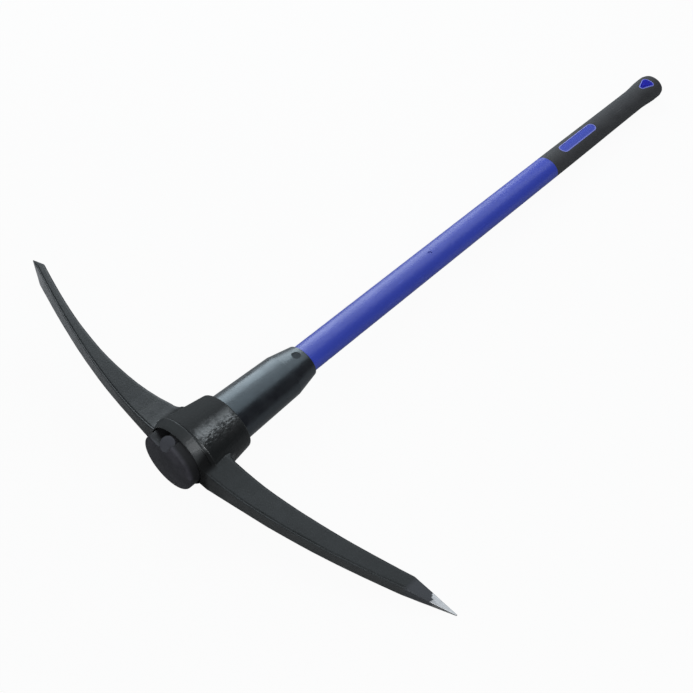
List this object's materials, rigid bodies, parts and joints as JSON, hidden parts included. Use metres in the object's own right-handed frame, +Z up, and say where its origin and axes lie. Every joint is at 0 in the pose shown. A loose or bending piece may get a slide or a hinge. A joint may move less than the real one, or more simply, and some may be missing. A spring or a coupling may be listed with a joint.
{
  "type": "pick axe",
  "caption": "Pick axe with a forged head, chisel arm one way and point the other, bonded to an oval fibreglass-cored handle with a guard sleeve, plastic casing and rubber grip.",
  "frame": {"origin": "middle of the tool's box, on the handle's axis", "axes": "+X along the handle from the head to the butt, +Y along the head towards the chisel, +Z up, square to both, with the tool lying flat"},
  "size_m": [0.895, 0.604, 0.0746],
  "materials": {
    "black_steel": "black paint over a forged skin, satin, worn to bare steel at the point and the chisel's edge",
    "cast_resin": "hard amber resin, cast in place",
    "plug_plastic": "dull dark grey moulding",
    "stopper_plastic": "smooth dark grey moulding",
    "fibreglass": "pale pultruded rod with lengthwise fibres",
    "sleeve_plastic": "black, glossy",
    "blue_plastic": "blue, satin gloss",
    "grip_rubber": "dark grey, matt, fine grain"
  },
  "bodies": {
    "root": {"pick_head": "black_steel", "eye_resin": "cast_resin", "end_plug": "plug_plastic", "filler_stopper": "stopper_plastic", "glass_core": "fibreglass", "guard_sleeve": "sleeve_plastic", "handle_casing": "blue_plastic", "rubber_grip": "grip_rubber"}
  },
  "joints": []
}
